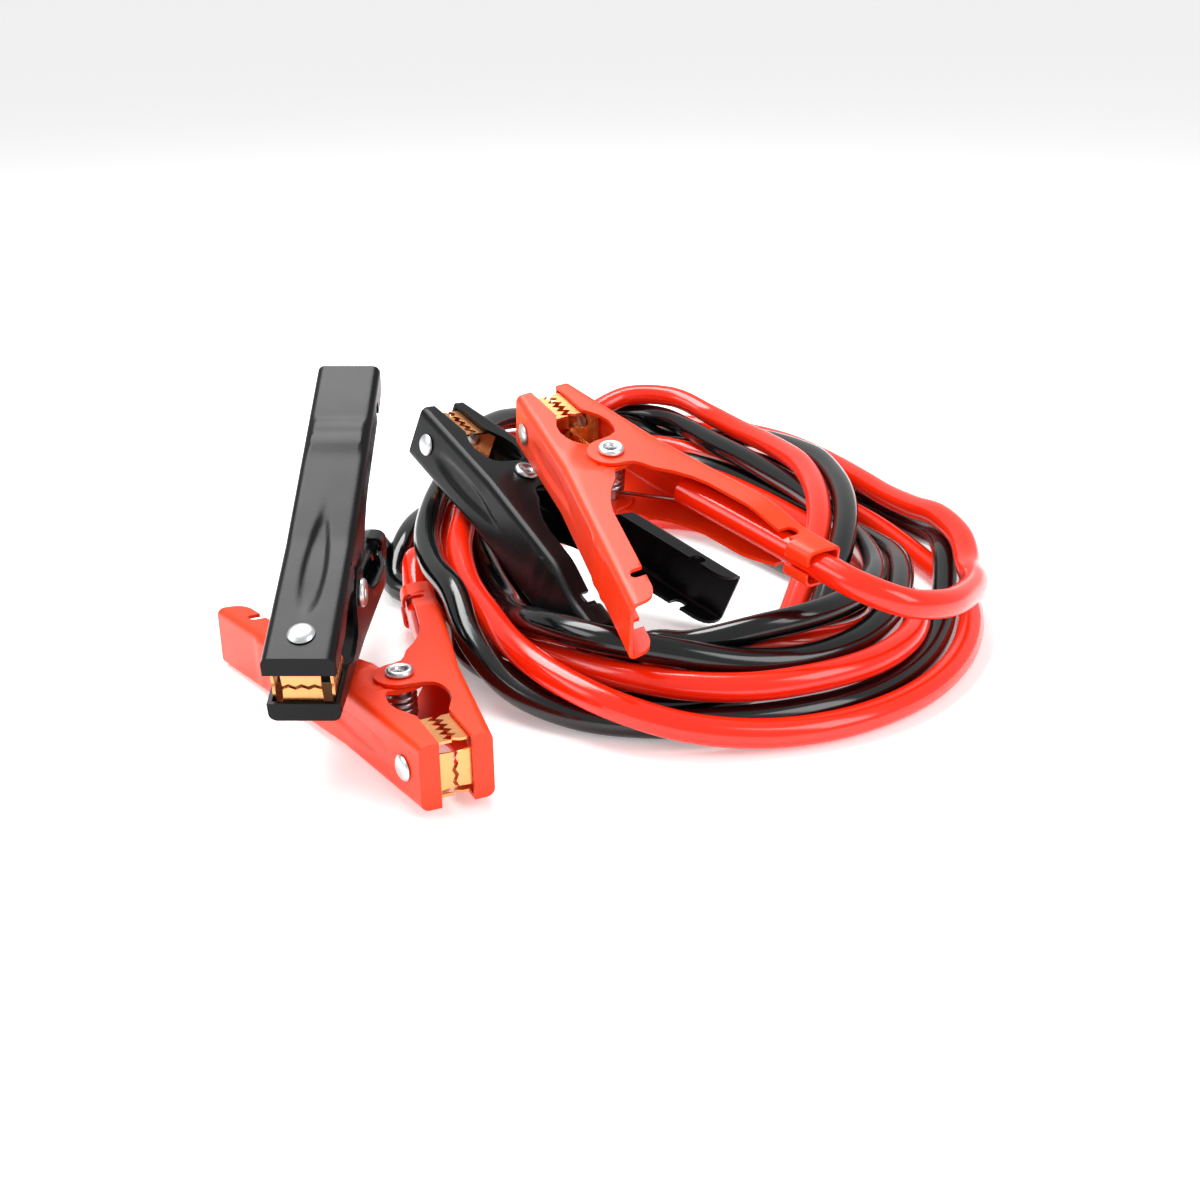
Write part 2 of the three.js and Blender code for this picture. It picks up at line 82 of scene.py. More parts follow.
def finish(
    name, colour, roughness, relief, metallic=0.0, coat=0.0, shine=0.5, grain=900.0, wear=0.06
):
    """A finish whose roughness differs by that wear from patch to patch, with a fine grain."""
    material = bpy.data.materials.new(name)
    material.use_nodes = True
    tree = material.node_tree
    place = add_node(tree, "ShaderNodeTexCoord").outputs["Object"]
    patches = add_node(tree, "ShaderNodeTexNoise", Vector=place, Scale=PATCH_SCALE, Detail=3.0)
    spread = add_node(
        tree,
        "ShaderNodeMapRange",
        Value=patches.outputs["Fac"],
        To_Min=roughness - wear,
        To_Max=roughness + wear,
    )
    fine = add_node(tree, "ShaderNodeTexNoise", Vector=place, Scale=grain, Detail=2.0)
    bump = add_node(
        tree, "ShaderNodeBump", Height=fine.outputs["Fac"], Strength=relief, Distance=GRAIN_DEPTH
    )
    set_inputs(
        tree,
        tree.nodes["Principled BSDF"],
        Base_Color=linear(colour),
        Metallic=metallic,
        Specular_IOR_Level=shine,
        Coat_Weight=coat,
        Coat_Roughness=COAT_ROUGHNESS,
        Roughness=spread.outputs["Result"],
        Normal=bump.outputs["Normal"],
    )
    return material


# Dip-coated steel arms: a thick satin coating with a faint orange peel
red_coating = finish("red dipped coating on steel", "#F0370C", 0.34, 0.08, shine=0.35)
black_coating = finish("black dipped coating on steel", "#0B0C0E", 0.3, 0.08, shine=0.16)
# Stamped jaws, copper plated and left bright
copper_plate = finish("copper plate on stamped steel", "#E9A066", 0.27, 0.03, metallic=1.0)
# Rivets: bright zinc plate, slightly uneven
zinc_plate = finish("bright zinc plate", "#D6D9DA", 0.34, 0.03, metallic=1.0)
# Springs: drawn wire, zinc plated
spring_wire = finish("zinc plated spring wire", "#B9BCBE", 0.3, 0.05, metallic=1.0)
# Jackets: extruded PVC with a wet gloss
gloss = {"coat": 0.1, "grain": 300.0, "wear": 0.04}
red_pvc = finish("red extruded PVC", "#EC2406", 0.17, 0.02, **gloss)
black_pvc = finish("black extruded PVC", "#060809", 0.15, 0.02, **gloss)

# Leads
# Each lead is one round jacket along the same points as in the CAD, from the arm of its upper clamp
# to that of its lower one. The runs were drawn over the photograph. A separate program then took
# points along them and moved these apart, and a few were moved by hand after that.
LEAD_ROUTES = {
    "red_cable": [
        (0.0717, 0.0224, 0.0759), (0.0922, 0.0019, 0.0709), (0.1117, -0.0176, 0.0659),
        (0.1277, -0.0336, 0.0619), (0.1402, -0.0436, 0.0584), (0.1582, -0.0456, 0.0524),
        (0.1772, -0.0321, 0.0459), (0.1922, -0.0076, 0.0394), (0.2032, 0.0204, 0.0334),
        (0.2072, 0.0489, 0.0284), (0.2097, 0.0784, 0.0314), (0.2052, 0.1079, 0.0314),
        (0.1977, 0.1359, 0.0259), (0.1892, 0.1644, 0.0219), (0.1797, 0.1924, 0.0209),
        (0.1702, 0.2209, 0.0194), (0.1592, 0.2484, 0.0179), (0.1477, 0.2754, 0.0154),
        (0.1332, 0.3014, 0.0119), (0.1142, 0.3239, 0.0089), (0.0882, 0.3379, 0.0074),
        (0.0592, 0.3394, 0.0074), (0.0317, 0.3289, 0.0089), (0.0102, 0.3094, 0.0119),
        (-0.0048, 0.2839, 0.0174), (-0.0143, 0.2564, 0.0234), (-0.0203, 0.2284, 0.0304),
        (-0.0233, 0.1989, 0.0364), (-0.0253, 0.1699, 0.0409), (-0.0268, 0.1399, 0.0439),
        (-0.0288, 0.1099, 0.0439), (-0.0303, 0.0804, 0.0404), (-0.0303, 0.0509, 0.0359),
        (-0.0243, 0.0229, 0.0309), (-0.0128, -0.0046, 0.0274), (-0.0003, -0.0311, 0.0254),
        (0.0182, -0.0541, 0.0224), (0.0422, -0.0701, 0.0179), (0.0702, -0.0761, 0.0119),
        (0.0997, -0.0736, 0.0079), (0.1282, -0.0656, 0.0069), (0.1537, -0.0511, 0.0069),
        (0.1752, -0.0311, 0.0069), (0.1917, -0.0066, 0.0069), (0.2032, 0.0209, 0.0069),
        (0.2092, 0.0499, 0.0069), (0.2072, 0.0789, 0.0069), (0.1997, 0.1079, 0.0069),
        (0.1912, 0.1359, 0.0069), (0.1807, 0.1634, 0.0069), (0.1667, 0.1899, 0.0069),
        (0.1507, 0.2144, 0.0069), (0.1332, 0.2379, 0.0069), (0.1137, 0.2599, 0.0069),
        (0.0902, 0.2769, 0.0089), (0.0622, 0.2839, 0.0114), (0.0337, 0.2804, 0.0094),
        (0.0102, 0.2639, 0.0069), (-0.0058, 0.2394, 0.0069), (-0.0183, 0.2129, 0.0079),
        (-0.0298, 0.1864, 0.0119), (-0.0398, 0.1594, 0.0179), (-0.0463, 0.1309, 0.0224),
        (-0.0448, 0.1019, 0.0214), (-0.0358, 0.0749, 0.0154), (-0.0228, 0.0494, 0.0114),
        (-0.0113, 0.0224, 0.0069), (0.0037, -0.0031, 0.0069), (0.0227, -0.0261, 0.0069),
        (0.0507, -0.0366, 0.0069), (0.0792, -0.0311, 0.0069), (0.1017, -0.0121, 0.0069),
        (0.1167, 0.0129, 0.0104), (0.1267, 0.0399, 0.0169), (0.1362, 0.0669, 0.0254),
        (0.1432, 0.0949, 0.0319), (0.1462, 0.1244, 0.0349), (0.1467, 0.1539, 0.0349),
        (0.1442, 0.1834, 0.0339), (0.1382, 0.2124, 0.0309), (0.1297, 0.2409, 0.0279),
        (0.1187, 0.2679, 0.0259), (0.1032, 0.2934, 0.0274), (0.0807, 0.3114, 0.0334),
        (0.0522, 0.3139, 0.0334), (0.0282, 0.2989, 0.0259), (0.0107, 0.2754, 0.0214),
        (-0.0023, 0.2489, 0.0204), (-0.0133, 0.2209, 0.0209), (-0.0233, 0.1934, 0.0234),
        (-0.0313, 0.1649, 0.0279), (-0.0358, 0.1354, 0.0309), (-0.0383, 0.1059, 0.0329),
        (-0.0378, 0.0764, 0.0289), (-0.0308, 0.0479, 0.0224), (-0.0203, 0.0204, 0.0174),
        (-0.0063, -0.0061, 0.0154), (0.0142, -0.0276, 0.0189), (0.0382, -0.0451, 0.0209),
        (0.0657, -0.0556, 0.0204), (0.0952, -0.0566, 0.0199), (0.1237, -0.0491, 0.0204),
        (0.1492, -0.0341, 0.0204), (0.1677, -0.0111, 0.0194), (0.1777, 0.0164, 0.0169),
        (0.1807, 0.0454, 0.0119), (0.1767, 0.0744, 0.0079), (0.1692, 0.1034, 0.0069),
        (0.1592, 0.1314, 0.0069), (0.1472, 0.1584, 0.0069), (0.1332, 0.1844, 0.0069),
        (0.1177, 0.2099, 0.0069), (0.1002, 0.2334, 0.0069), (0.0777, 0.2519, 0.0074),
        (0.0492, 0.2549, 0.0114), (0.0247, 0.2404, 0.0169), (0.0057, 0.2179, 0.0199),
        (-0.0098, 0.1929, 0.0194), (-0.0203, 0.1654, 0.0194), (-0.0268, 0.1364, 0.0204),
        (-0.0278, 0.1069, 0.0174), (-0.0218, 0.0784, 0.0114), (-0.0103, 0.0514, 0.0074),
        (0.0027, 0.0249, 0.0069), (0.0182, -0.0006, 0.0069), (0.0407, -0.0211, 0.0069),
        (0.0692, -0.0251, 0.0169), (0.0982, -0.0236, 0.0214), (0.1262, -0.0151, 0.0199),
        (0.1492, 0.0034, 0.0154), (0.1642, 0.0284, 0.0124), (0.1662, 0.0574, 0.0104),
        (0.1572, 0.0859, 0.0084), (0.1427, 0.1114, 0.0074), (0.1247, 0.1349, 0.0069),
        (0.1037, 0.1554, 0.0069), (0.0772, 0.1684, 0.0069), (0.0482, 0.1674, 0.0069),
        (0.0207, 0.1559, 0.0069), (-0.0048, 0.1409, 0.0069), (-0.0288, 0.1234, 0.0069),
        (-0.0483, 0.1009, 0.0084), (-0.0538, 0.0744, 0.0214), (-0.0508, 0.0459, 0.0139),
        (-0.0448, 0.0164, 0.0144), (-0.0383, -0.0126, 0.0149), (-0.0343, -0.0326, 0.0154),
    ],
    "black_cable": [
        (-0.0033, 0.0399, 0.0494), (0.0112, 0.0149, 0.0404), (0.0247, -0.0081, 0.0324),
        (0.0367, -0.0281, 0.0249), (0.0447, -0.0381, 0.0254), (0.0572, -0.0366, 0.0294),
        (0.0722, -0.0336, 0.0279), (0.1012, -0.0296, 0.0334), (0.1277, -0.0176, 0.0349),
        (0.1477, 0.0039, 0.0339), (0.1592, 0.0309, 0.0309), (0.1642, 0.0599, 0.0264),
        (0.1647, 0.0894, 0.0224), (0.1612, 0.1189, 0.0204), (0.1547, 0.1479, 0.0204),
        (0.1447, 0.1759, 0.0204), (0.1322, 0.2034, 0.0204), (0.1187, 0.2299, 0.0209),
        (0.1042, 0.2559, 0.0209), (0.0902, 0.2824, 0.0214), (0.0737, 0.3074, 0.0219),
        (0.0482, 0.3204, 0.0209), (0.0212, 0.3099, 0.0219), (0.0032, 0.2874, 0.0279),
        (-0.0098, 0.2619, 0.0354), (-0.0218, 0.2354, 0.0419), (-0.0313, 0.2069, 0.0449),
        (-0.0373, 0.1779, 0.0449), (-0.0403, 0.1479, 0.0449), (-0.0433, 0.1184, 0.0454),
        (-0.0463, 0.0889, 0.0429), (-0.0463, 0.0594, 0.0389), (-0.0403, 0.0309, 0.0369),
        (-0.0288, 0.0034, 0.0354), (-0.0193, -0.0226, 0.0249), (-0.0013, -0.0431, 0.0129),
        (0.0242, -0.0566, 0.0074), (0.0532, -0.0636, 0.0069), (0.0832, -0.0621, 0.0069),
        (0.1122, -0.0556, 0.0069), (0.1392, -0.0436, 0.0069), (0.1617, -0.0246, 0.0069),
        (0.1792, -0.0001, 0.0069), (0.1912, 0.0269, 0.0084), (0.1987, 0.0549, 0.0144),
        (0.2042, 0.0834, 0.0194), (0.2072, 0.1129, 0.0174), (0.2037, 0.1414, 0.0109),
        (0.1942, 0.1689, 0.0074), (0.1802, 0.1949, 0.0069), (0.1637, 0.2194, 0.0069),
        (0.1462, 0.2434, 0.0069), (0.1267, 0.2659, 0.0069), (0.1042, 0.2849, 0.0069),
        (0.0772, 0.2949, 0.0069), (0.0477, 0.2959, 0.0069), (0.0197, 0.2894, 0.0069),
        (-0.0028, 0.2699, 0.0069), (-0.0183, 0.2449, 0.0069), (-0.0308, 0.2184, 0.0079),
        (-0.0428, 0.1909, 0.0099), (-0.0523, 0.1629, 0.0134), (-0.0588, 0.1339, 0.0189),
        (-0.0628, 0.1044, 0.0189), (-0.0648, 0.0769, 0.0079), (-0.0413, 0.0579, 0.0069),
        (-0.0293, 0.0299, 0.0069), (-0.0223, 0.0004, 0.0069), (-0.0028, -0.0231, 0.0069),
        (0.0222, -0.0411, 0.0074), (0.0512, -0.0501, 0.0079), (0.0807, -0.0446, 0.0079),
        (0.1057, -0.0281, 0.0079), (0.1232, -0.0041, 0.0094), (0.1347, 0.0229, 0.0159),
        (0.1442, 0.0504, 0.0239), (0.1527, 0.0784, 0.0304), (0.1582, 0.1079, 0.0339),
        (0.1602, 0.1374, 0.0349), (0.1592, 0.1674, 0.0339), (0.1557, 0.1969, 0.0319),
        (0.1487, 0.2259, 0.0274), (0.1392, 0.2539, 0.0224), (0.1252, 0.2794, 0.0174),
        (0.1047, 0.2994, 0.0104), (0.0767, 0.3089, 0.0074), (0.0507, 0.3039, 0.0179),
        (0.0317, 0.2814, 0.0229), (0.0157, 0.2559, 0.0249), (0.0012, 0.2299, 0.0289),
        (-0.0088, 0.2024, 0.0329), (-0.0143, 0.1729, 0.0329), (-0.0198, 0.1439, 0.0329),
        (-0.0238, 0.1144, 0.0319), (-0.0248, 0.0854, 0.0269), (-0.0173, 0.0574, 0.0219),
        (-0.0073, 0.0299, 0.0189), (-0.0013, 0.0019, 0.0249), (0.0122, -0.0251, 0.0334),
        (0.0362, -0.0441, 0.0354), (0.0642, -0.0476, 0.0314), (0.0927, -0.0441, 0.0249),
        (0.1207, -0.0346, 0.0219), (0.1452, -0.0186, 0.0229), (0.1622, 0.0054, 0.0249),
        (0.1722, 0.0334, 0.0249), (0.1782, 0.0624, 0.0224), (0.1802, 0.0914, 0.0174),
        (0.1762, 0.1204, 0.0119), (0.1667, 0.1484, 0.0084), (0.1542, 0.1754, 0.0069),
        (0.1392, 0.2009, 0.0069), (0.1232, 0.2259, 0.0069), (0.1047, 0.2489, 0.0069),
        (0.0807, 0.2664, 0.0069), (0.0522, 0.2699, 0.0069), (0.0267, 0.2564, 0.0069),
        (0.0107, 0.2314, 0.0069), (0.0027, 0.2029, 0.0084), (-0.0038, 0.1749, 0.0154),
        (-0.0108, 0.1469, 0.0214), (-0.0138, 0.1174, 0.0199), (-0.0108, 0.0884, 0.0149),
        (-0.0008, 0.0614, 0.0099), (0.0122, 0.0349, 0.0074), (0.0272, 0.0094, 0.0069),
        (0.0507, -0.0106, 0.0069), (0.0802, -0.0121, 0.0144), (0.1087, -0.0071, 0.0224),
        (0.1347, 0.0059, 0.0239), (0.1517, 0.0294, 0.0184), (0.1517, 0.0579, 0.0119),
        (0.1412, 0.0854, 0.0084), (0.1252, 0.1104, 0.0079), (0.1067, 0.1339, 0.0109),
        (0.0862, 0.1544, 0.0164), (0.0602, 0.1684, 0.0204), (0.0312, 0.1709, 0.0159),
        (0.0037, 0.1619, 0.0089), (-0.0218, 0.1464, 0.0069), (-0.0473, 0.1299, 0.0069),
        (-0.0713, 0.1114, 0.0099), (-0.0748, 0.0849, 0.0264), (-0.0738, 0.0584, 0.0369),
        (-0.0738, 0.0284, 0.0384), (-0.0738, -0.0016, 0.0399), (-0.0738, -0.0216, 0.0409),
    ],
}
LEAD_DIAMETER = 0.0123
STEPS_BETWEEN_POINTS = 6


def poly_curve(name, line, diameter, fineness):
    """A round strand of that diameter along a line of points."""
    curve = bpy.data.curves.new(name, "CURVE")
    curve.dimensions = "3D"
    curve.bevel_depth = diameter / 2
    curve.bevel_resolution = fineness
    curve.use_fill_caps = True
    spline = curve.splines.new("POLY")
    spline.points.add(len(line) - 1)
    for point, place in zip(spline.points, line):
        point.co = (*place, 1.0)
    obj = bpy.data.objects.new(name, curve)
    bpy.context.collection.objects.link(obj)
    return obj


def lead_line(points):
    """A centripetal Catmull-Rom curve through the points."""
    line = []
    last = len(points) - 1
    for i in range(last):
        start, end = points[i], points[i + 1]
        before = points[i - 1] if i else 2 * start - end
        after = points[i + 2] if i + 2 <= last else 2 * end - start
        a = (start - before).length ** 0.5
        b = (end - start).length ** 0.5
        c = (after - end).length ** 0.5
        leave = b * ((start - before) / a - (end - before) / (a + b) + (end - start) / b)
        arrive = b * ((end - start) / b - (after - start) / (b + c) + (after - end) / c)
        for step in range(STEPS_BETWEEN_POINTS):
            t = step / STEPS_BETWEEN_POINTS
            line.append(
                (2 * t**3 - 3 * t**2 + 1) * start
                + (t**3 - 2 * t**2 + t) * leave
                + (3 * t**2 - 2 * t**3) * end
                + (t**3 - t**2) * arrive
            )
    line.append(points[-1])
    return line


for name, jacket in (("red_cable", red_pvc), ("black_cable", black_pvc)):
    line = lead_line([Vector(point) for point in LEAD_ROUTES[name]])
    lead = poly_curve(f"{name}_jacket", line, LEAD_DIAMETER, fineness=6)
    lead.data.materials.append(jacket)
    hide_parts(name)
    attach(lead, "root")

# Clamps: shared sizes
# All four clamps are the same. Their pieces are made once, in the frame of one clamp: x to the jaws,
# y out to the web of the cable arm, z along the pivot rivet.
SHEET = 0.0016
JAW_SHEET = 0.0012
HALF_WIDTH = 0.0135
JAW_REACH = 0.062
HANDLE_REACH = 0.1
GAP = 0.0003
WEB_HEIGHT = 0.025
JAW_FALL = 0.0105
HANDLE_RISE = 0.025
# Angles in degrees: bevelled above the first, shaded smooth below the others
SHARP_EDGE = 50
SMOOTH_FOLD = 35
SMOOTH_TURNED = 40


def web_height(x):
    return WEB_HEIGHT - JAW_FALL * max(x, 0) / JAW_REACH + HANDLE_RISE * max(-x, 0) / HANDLE_REACH


def select_only(obj):
    bpy.ops.object.select_all(action="DESELECT")
    obj.select_set(True)
    bpy.context.view_layer.objects.active = obj


def mesh_object(name, points, faces, edges=()):
    mesh = bpy.data.meshes.new(name)
    mesh.from_pydata(points, edges, faces)
    obj = bpy.data.objects.new(name, mesh)
    bpy.context.collection.objects.link(obj)
    select_only(obj)
    return obj


def apply(obj, kind, **settings):
    modifier = obj.modifiers.new(kind.lower(), kind)
    for key, value in settings.items():
        setattr(modifier, key, value)
    select_only(obj)
    bpy.ops.object.modifier_apply(modifier=modifier.name)


def smooth_by_angle(obj, degrees):
    select_only(obj)
    bpy.ops.object.shade_smooth_by_angle(angle=math.radians(degrees))


def soften(obj, width, segments=2):
    """Rounds the cut edges of pressed sheet."""
    limit = math.radians(SHARP_EDGE)
    apply(obj, "BEVEL", width=width, segments=segments, limit_method="ANGLE", angle_limit=limit)
    smooth_by_angle(obj, SMOOTH_FOLD)


def join(obj, others):
    select_only(obj)
    for other in others:
        other.select_set(True)
    bpy.ops.object.join()


def turned(name, profile, steps):
    """A closed solid of revolution about z, from its (radius, z) profile."""
    edges = [(i, i + 1) for i in range(len(profile) - 1)]
    obj = mesh_object(name, [(r, 0, z) for r, z in profile], [], edges)
    bpy.ops.object.mode_set(mode="EDIT")
    bpy.ops.mesh.select_all(action="SELECT")
    bpy.ops.mesh.spin(steps=steps, angle=2 * math.pi, center=(0, 0, 0), axis=(0, 0, 1))
    bpy.ops.mesh.select_all(action="SELECT")
    bpy.ops.mesh.remove_doubles(threshold=0.00001)
    bpy.ops.mesh.normals_make_consistent(inside=False)
    bpy.ops.object.mode_set(mode="OBJECT")
    smooth_by_angle(obj, SMOOTH_TURNED)
    return obj


# Arms
# A pressed channel with rounded bends, a lobe for the pivot, a throat behind the jaw, a keyhole notch
# and a rounded corner at the handle end, a long dimple and a raised thumb band in the web. The list
# is the lower edge of its side from the handle end to the jaws, as (x, y).
INNER_EDGE = [
    (-0.1, 0.0450), (-0.0994, 0.0418), (-0.098, 0.0393), (-0.096, 0.0377), (-0.0935, 0.0364),
    (-0.042, 0.0235), (-0.034, 0.0202), (-0.027, 0.0158), (-0.02, 0.0096), (-0.0145, 0.0067),
    (-0.0118, 0.0046), (-0.0105, 0.001), (-0.0102, -0.0024), (-0.0094, -0.0047), (-0.008, -0.0068),
    (-0.006, -0.0086), (-0.003, -0.01006), (0, -0.0105), (0.003, -0.01006), (0.006, -0.0086),
    (0.008, -0.0068), (0.0094, -0.0047), (0.0102, -0.0024), (0.0105, 0.001), (0.0112, 0.006),
    (0.0131, 0.0097), (0.0158, 0.0112), (0.0184, 0.0119), (0.0236, 0.0123), (0.0294, 0.0111),
    (0.0347, 0.0082), (0.038, 0.0065), (0.062, 0.0065),
]
NOTCH_AT = -0.083
NOTCH_HALF = 0.00275
NOTCH_DEPTH = 0.0065
BEND = 0.0032
DIMPLE_AT = 0.012
DIMPLE_HALF_LENGTH = 0.031
DIMPLE_HALF_WIDTH = 0.0052
DIMPLE_DEPTH = 0.0011
BAND_HEIGHT = 0.0007
RIDGE_HEIGHT = 0.00025
RIDGE_PITCH = 0.0042
GRIP_NARROWING = 0.0049
ARM_EDGE = 0.00035
DRILL_LENGTH = 0.06


def between(table, x):
    for (x0, y0), (x1, y1) in zip(table, table[1:]):
        if x0 <= x <= x1:
            return y0 + (y1 - y0) * (x - x0) / (x1 - x0)
    return table[-1][1]


def inner_edge(x):
    y = between(INNER_EDGE, x)
    off = abs(x - NOTCH_AT)
    if off < NOTCH_HALF:
        y += NOTCH_DEPTH - NOTCH_HALF + math.sqrt(NOTCH_HALF**2 - off**2)
    return y


def smooth(low, high, value):
    t = min(max((value - low) / (high - low), 0), 1)
    return t * t * (3 - 2 * t)


def web_relief(x, z):
    """Height of the pressed relief over the flat web."""
    along = (x - DIMPLE_AT) / DIMPLE_HALF_LENGTH
    wide = DIMPLE_HALF_WIDTH * (1 + 0.3 * along)
    dimple = smooth(1.0, 0.6, math.hypot(along, z / wide))
    band = smooth(-0.067, -0.064, x) * smooth(-0.047, -0.050, x)
    ridges = RIDGE_HEIGHT * math.cos(2 * math.pi * x / RIDGE_PITCH) * band
    return -DIMPLE_DEPTH * dimple + BAND_HEIGHT * band + ridges


def taper(x, inset):
    """The cable arm narrows to the lead at its grip; the free arm keeps its width."""
    return 0 if inset else GRIP_NARROWING * smooth(-0.060, -0.087, x)


def half_width(x, y, inset):
    """The free arm's lobe is set in by that inset, so that it fits inside the cable arm's."""
    reach = math.hypot(x, y)
    return HALF_WIDTH - taper(x, inset) - inset * (1 - smooth(0.0112, 0.0150, reach))


def section(x, inset):
    """The outer surface of the channel at x, from the edge of one side to that of the other."""
    edge, top = inner_edge(x), web_height(x)
    bend = min(BEND, top - edge - 0.001)
    half = HALF_WIDTH - taper(x, inset)
    side = []
    for i in range(8):
        y = edge + (top - bend - edge) * i / 7
        side.append((y, half_width(x, y, inset)))
    for i in range(1, 5):
        angle = math.pi / 2 * i / 5
        y = top - bend + bend * math.sin(angle)
        side.append((y, half - bend + bend * math.cos(angle)))
    web = []
    for i in range(21):
        z = (half - bend) * (1 - i / 10)
        web.append((top + web_relief(x, z), z))
    return [(x, y, z) for y, z in side + web + [(y, -z) for y, z in reversed(side)]]


def sheet_metal(name, rows, thickness, end_wall=False):
    """A sheet of that thickness, inward from the rows of points, with a wall at the last row if
    it has an end wall."""
    count = len(rows[0])
    points = [point for row in rows for point in row]
    faces = [
        (r * count + c, r * count + c + 1, (r + 1) * count + c + 1, (r + 1) * count + c)
        for r in range(len(rows) - 1)
        for c in range(count - 1)
    ]
    if end_wall:
        faces.append(tuple(range(len(points) - count, len(points))))
    obj = mesh_object(name, points, faces)
    bpy.ops.object.mode_set(mode="EDIT")
    bpy.ops.mesh.select_all(action="SELECT")
    bpy.ops.mesh.flip_normals()
    bpy.ops.object.mode_set(mode="OBJECT")
    apply(obj, "SOLIDIFY", thickness=thickness, offset=-1, use_even_offset=True, thickness_clamp=0)
    return obj


def stations():
    """Where an arm has its sections: every 3 mm where it is straight, and closer at the notch."""
    xs = {round(x, 5) for x, _ in INNER_EDGE}
    xs |= {round(-0.0935 + 0.003 * i, 5) for i in range(19)}
    xs |= {round(0.038 + 0.003 * i, 5) for i in range(8)}
    for off in (0.00276, 0.0027, 0.0024, 0.0018, 0.001):
        xs |= {round(NOTCH_AT - off, 5), round(NOTCH_AT + off, 5)}
    xs = sorted(xs)
    return [x for i, x in enumerate(xs) if i == 0 or x - xs[i - 1] > 0.00004]


def drill(obj, radius, matrix):
    bpy.ops.mesh.primitive_cylinder_add(vertices=32, radius=radius, depth=DRILL_LENGTH)
    cutter = bpy.context.active_object
    cutter.data.transform(matrix)
    apply(obj, "BOOLEAN", object=cutter, operation="DIFFERENCE", solver="EXACT")
    bpy.data.objects.remove(cutter)


JAW_SLOPE = math.atan2(-JAW_FALL, JAW_REACH)
RIVET_X = 0.05
RIVET_HOLE = 0.0027
PIVOT_HOLE = 0.0043
rivet_axis = (
    Matrix.Translation((RIVET_X, web_height(RIVET_X), 0))
    @ Matrix.Rotation(JAW_SLOPE, 4, "Z")
    @ Matrix.Rotation(-math.pi / 2, 4, "X")
)


def arm(name, inset):
    rows = [section(x, inset) for x in stations()]
    obj = sheet_metal(name, rows, SHEET, end_wall=True)
    drill(obj, PIVOT_HOLE, Matrix.Identity(4))
    drill(obj, RIVET_HOLE, rivet_axis)
    soften(obj, ARM_EDGE)
    return obj


GRIP_DEPTH = 0.0161
FOLD = 0.004
TAB_STANDOFF = 0.0003
TAB_EDGE = 0.0004


def grip_tab(side):
    """One of the two tabs at the cable arm's end that turn in under the lead."""
    rows = []
    for x in (-0.1, -0.0985, -0.094, -0.0895, -0.088):
        top = web_height(x)
        low = top - GRIP_DEPTH
        half = HALF_WIDTH - taper(x, 0) + TAB_STANDOFF
        path = [(top - 0.005, half), (top - 0.010, half), (low + FOLD, half)]
        for i in range(1, 6):
            angle = math.pi / 2 * i / 5
            down, out = FOLD * math.sin(angle), FOLD * math.cos(angle)
            path.append((low + FOLD - down, half - FOLD + out))
        path += [(low, half - 0.0055), (low, half - 0.007)]
        rows.append([(x, y, z * side) for y, z in path])
    if side > 0:
        rows.reverse()
    tab = sheet_metal(f"grip_tab_{side}", rows, SHEET)
    soften(tab, TAB_EDGE)
    return tab


cable_arm = arm("cable_arm", 0)
join(cable_arm, [grip_tab(1), grip_tab(-1)])
free_arm = arm("free_arm", SHEET + GAP)

# Jaws
# A stamped copper channel inside the front of each arm, with teeth along both flanges and a wavy lip
# across the front.
JAW_BACK = 0.038
JAW_FRONT = JAW_REACH - SHEET - GAP
JAW_BEND = 0.002
TOOTH_COUNT = 5
TOOTH_DEPTH = 0.0029
TIP_Y = 0.0002
JAW_EDGE = 0.0002
LIP_HALF = 0.0098
LIP_NARROWING = 0.0026
WAVE_DEPTH = 0.0011


def jaw_lip(name, phase):
    """The narrow front wall, bent down from the web, with a wavy lower edge."""
    rows = []
    for k in range(13):
        share = k / 6 - 1
        wave = 0.5 + 0.5 * math.cos(math.pi * (k + phase * 2) / 2)
        low = TIP_Y + WAVE_DEPTH * wave
        top = web_height(JAW_FRONT) - SHEET - GAP
        row = []
        for x, y in (
            (JAW_FRONT - 0.004, web_height(JAW_FRONT - 0.004) - SHEET - GAP),
            (JAW_FRONT - 0.0013, top + 0.0001),
            (JAW_FRONT - 0.0004, top - 0.0004),
            (JAW_FRONT, top - 0.0014),
            (JAW_FRONT, top * 0.5),
            (JAW_FRONT, low),
        ):
            wide = LIP_HALF - LIP_NARROWING * smooth(top, top * 0.35, y)
            row.append((x, y, wide * share))
        rows.append(row)
    return sheet_metal(name, rows, JAW_SHEET)


def jaw(name, phase):
    """A jaw whose teeth start on a point or, in the other phase, in a gap, so that two jaws mesh."""
    rows = []
    half = HALF_WIDTH - SHEET - GAP
    front = JAW_FRONT - 0.0018
    for i in range(2 * TOOTH_COUNT + 1):
        x = JAW_BACK + (front - JAW_BACK) * i / (2 * TOOTH_COUNT)
        low = TIP_Y + (TOOTH_DEPTH if i % 2 == phase else 0)
        top = web_height(x) - SHEET - GAP
        side = [(low + (top - JAW_BEND - low) * k / 3, half) for k in range(4)]
        for k in range(1, 4):
            angle = math.pi / 2 * k / 4
            up, out = JAW_BEND * math.sin(angle), JAW_BEND * math.cos(angle)
            side.append((top - JAW_BEND + up, half - JAW_BEND + out))
        web = [(top, (half - JAW_BEND) * (1 - k / 3)) for k in range(7)]
        rows.append([(x, y, z) for y, z in side + web + [(y, -z) for y, z in reversed(side)]])
    obj = sheet_metal(name, rows, JAW_SHEET)
    drill(obj, RIVET_HOLE, rivet_axis)
    join(obj, [jaw_lip(f"{name}_lip", phase)])
    soften(obj, JAW_EDGE, segments=1)
    return obj


cable_jaw = jaw("cable_jaw", 0)
free_jaw = jaw("free_jaw", 1)

